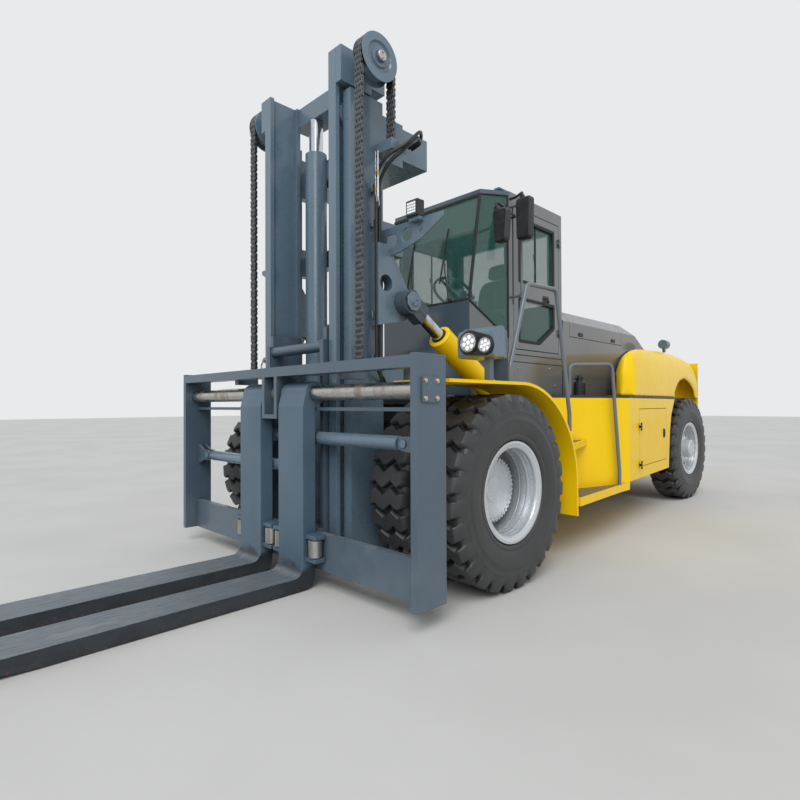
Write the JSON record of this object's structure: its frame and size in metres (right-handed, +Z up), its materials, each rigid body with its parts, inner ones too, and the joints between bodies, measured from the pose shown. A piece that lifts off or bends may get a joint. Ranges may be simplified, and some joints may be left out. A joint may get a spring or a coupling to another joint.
{
  "type": "forklift truck",
  "caption": "Heavy counterbalance forklift truck with a tilting two-stage lift mast, shaft-hung forks, twin front wheels, steered rear wheels, cab, engine hood and counterweight.",
  "frame": {"origin": "on the floor, under the middle of the truck's length and width", "axes": "+Z up, +X to the truck's left, the forks point along -Y and the counterweight lies towards +Y"},
  "size_m": [3.084, 9.507, 3.9527],
  "materials": {
    "frame_paint": "satin dark grey paint",
    "cab_paint": "satin charcoal paint",
    "yellow_paint": "gloss yellow paint",
    "mast_paint": "satin slate blue paint",
    "silver_paint": "satin silver paint",
    "black_paint": "satin black paint",
    "engine_paint": "painted cast iron",
    "black_plastic": "matte moulded",
    "glass": "tinted, clear",
    "rod_chrome": "hard chrome",
    "worn_steel": "bare worn steel",
    "chain_steel": "oiled dark steel",
    "tyre_rubber": "matte rubber"
  },
  "bodies": {
    "chassis": {"chassis_frame": "frame_paint", "axle_housings": "frame_paint", "cab_shell": "cab_paint", "cab_glass": "glass", "cab_interior": "black_plastic", "hood": "cab_paint", "engine_block": "engine_paint", "counterweight": "yellow_paint", "side_boxes": "yellow_paint", "front_fenders": "yellow_paint", "rear_fenders": "yellow_paint", "lamps": "black_plastic", "grab_rails": "black_paint", "mirrors": "black_plastic"},
    "outer_mast": {"outer_mast": "mast_paint", "mast_brackets": "mast_paint", "lift_barrels": "mast_paint", "work_lamps": "black_plastic"},
    "inner_mast": {"inner_mast": "mast_paint", "lift_rods": "rod_chrome", "chain_sheaves": "chain_steel", "chain_front_runs": "chain_steel", "chain_rear_runs": "chain_steel"},
    "carriage": {"carriage": "mast_paint", "carriage_shaft": "worn_steel", "positioner_barrels": "mast_paint"},
    "fork_left": {"fork_left": "mast_paint"},
    "fork_right": {"fork_right": "mast_paint"},
    "cab_door_left": {"cab_door_left": "cab_paint"},
    "box_door_left": {"box_door_left": "yellow_paint"},
    "hood_lid_left": {"hood_lid_left": "cab_paint"},
    "tilt_barrel_left": {"tilt_barrel_left": "yellow_paint"},
    "tilt_rod_left": {"tilt_rod_left": "rod_chrome"},
    "front_wheels_left": {"front_tyres_left": "tyre_rubber", "front_hub_rims_left": "silver_paint"},
    "knuckle_left": {"knuckle_left": "frame_paint"},
    "rear_wheel_left": {"rear_tyre_left": "tyre_rubber", "rear_hub_rim_left": "silver_paint"},
    "cab_door_right": {"cab_door_right": "cab_paint"},
    "box_door_right": {"box_door_right": "yellow_paint"},
    "hood_lid_right": {"hood_lid_right": "cab_paint"},
    "tilt_barrel_right": {"tilt_barrel_right": "yellow_paint"},
    "tilt_rod_right": {"tilt_rod_right": "rod_chrome"},
    "front_wheels_right": {"front_tyres_right": "tyre_rubber", "front_hub_rims_right": "silver_paint"},
    "knuckle_right": {"knuckle_right": "frame_paint"},
    "rear_wheel_right": {"rear_tyre_right": "tyre_rubber", "rear_hub_rim_right": "silver_paint"}
  },
  "joints": [
    {"name": "mast_tilt", "type": "hinge", "parent": "chassis", "child": "outer_mast", "pos_m": [0, -1.6065, 0.6], "axis": [1, 0, 0], "range_deg": [-10, 6]},
    {"name": "mast_lift", "type": "slide", "parent": "outer_mast", "child": "inner_mast", "axis": [0, 0, 1], "range_m": [0, 2], "deforming": ["chain_rear_runs"]},
    {"name": "carriage_lift", "type": "slide", "parent": "inner_mast", "child": "carriage", "axis": [0, 0, 1], "range_m": [0, 2], "deforming": ["chain_front_runs"]},
    {"name": "fork_shift_left", "type": "slide", "parent": "carriage", "child": "fork_left", "axis": [1, 0, 0], "range_m": [0, 0.4]},
    {"name": "fork_shift_right", "type": "slide", "parent": "carriage", "child": "fork_right", "axis": [-1, 0, 0], "range_m": [0, 0.4]},
    {"name": "tilt_barrel_swing_left", "type": "hinge", "parent": "chassis", "child": "tilt_barrel_left", "pos_m": [0.72, -0.3565, 1.293], "axis": [1, 0, 0], "range_deg": [-6, 4]},
    {"name": "tilt_rod_slide_left", "type": "slide", "parent": "tilt_barrel_left", "child": "tilt_rod_left", "axis": [0, -0.8453, 0.5343], "range_m": [-0.23, 0.14]},
    {"name": "front_wheels_spin_left", "type": "hinge", "parent": "chassis", "child": "front_wheels_left", "pos_m": [1.09, -1.3065, 0.685], "axis": [1, 0, 0], "continuous": true},
    {"name": "steer_left", "type": "hinge", "parent": "chassis", "child": "knuckle_left", "pos_m": [0.79, 3.5435, 0.685], "axis": [0, 0, 1], "range_deg": [-50, 50]},
    {"name": "rear_wheel_spin_left", "type": "hinge", "parent": "knuckle_left", "child": "rear_wheel_left", "pos_m": [0.955, 3.5435, 0.685], "axis": [1, 0, 0], "continuous": true},
    {"name": "cab_door_swing_left", "type": "hinge", "parent": "chassis", "child": "cab_door_left", "pos_m": [0.736, 0.6865, 2.4], "axis": [0, 0, 1], "range_deg": [0, 100]},
    {"name": "box_door_swing_left", "type": "hinge", "parent": "chassis", "child": "box_door_left", "pos_m": [1.34686, 1.25212, 0.9], "axis": [0, 0, -1], "range_deg": [0, 110]},
    {"name": "hood_lid_lift_left", "type": "hinge", "parent": "chassis", "child": "hood_lid_left", "pos_m": [0.067, 0.9235, 2.326], "axis": [0, -1, 0], "range_deg": [0, 70]},
    {"name": "tilt_barrel_swing_right", "type": "hinge", "parent": "chassis", "child": "tilt_barrel_right", "pos_m": [-0.72, -0.3565, 1.293], "axis": [1, 0, 0], "range_deg": [-6, 4]},
    {"name": "tilt_rod_slide_right", "type": "slide", "parent": "tilt_barrel_right", "child": "tilt_rod_right", "axis": [0, -0.8453, 0.5343], "range_m": [-0.23, 0.14]},
    {"name": "front_wheels_spin_right", "type": "hinge", "parent": "chassis", "child": "front_wheels_right", "pos_m": [-1.09, -1.3065, 0.685], "axis": [1, 0, 0], "continuous": true},
    {"name": "steer_right", "type": "hinge", "parent": "chassis", "child": "knuckle_right", "pos_m": [-0.79, 3.5435, 0.685], "axis": [0, 0, 1], "range_deg": [-50, 50]},
    {"name": "rear_wheel_spin_right", "type": "hinge", "parent": "knuckle_right", "child": "rear_wheel_right", "pos_m": [-0.955, 3.5435, 0.685], "axis": [1, 0, 0], "continuous": true},
    {"name": "cab_door_swing_right", "type": "hinge", "parent": "chassis", "child": "cab_door_right", "pos_m": [-0.736, 0.6865, 2.4], "axis": [0, 0, -1], "range_deg": [0, 100]},
    {"name": "box_door_swing_right", "type": "hinge", "parent": "chassis", "child": "box_door_right", "pos_m": [-1.34686, 1.25212, 0.9], "axis": [0, 0, 1], "range_deg": [0, 110]},
    {"name": "hood_lid_lift_right", "type": "hinge", "parent": "chassis", "child": "hood_lid_right", "pos_m": [-0.067, 0.9235, 2.326], "axis": [0, 1, 0], "range_deg": [0, 70]}
  ],
  "couplings": [
    {"joint": "carriage_lift", "follows": "mast_lift", "ratio": 1},
    {"joint": "tilt_barrel_swing_left", "follows": "mast_tilt", "ratio": 0.5325},
    {"joint": "tilt_rod_slide_left", "follows": "mast_tilt", "m_per_rad": 1.265},
    {"joint": "tilt_barrel_swing_right", "follows": "mast_tilt", "ratio": 0.5325},
    {"joint": "tilt_rod_slide_right", "follows": "mast_tilt", "m_per_rad": 1.265},
    {"joint": "steer_right", "follows": "steer_left", "ratio": 1}
  ]
}
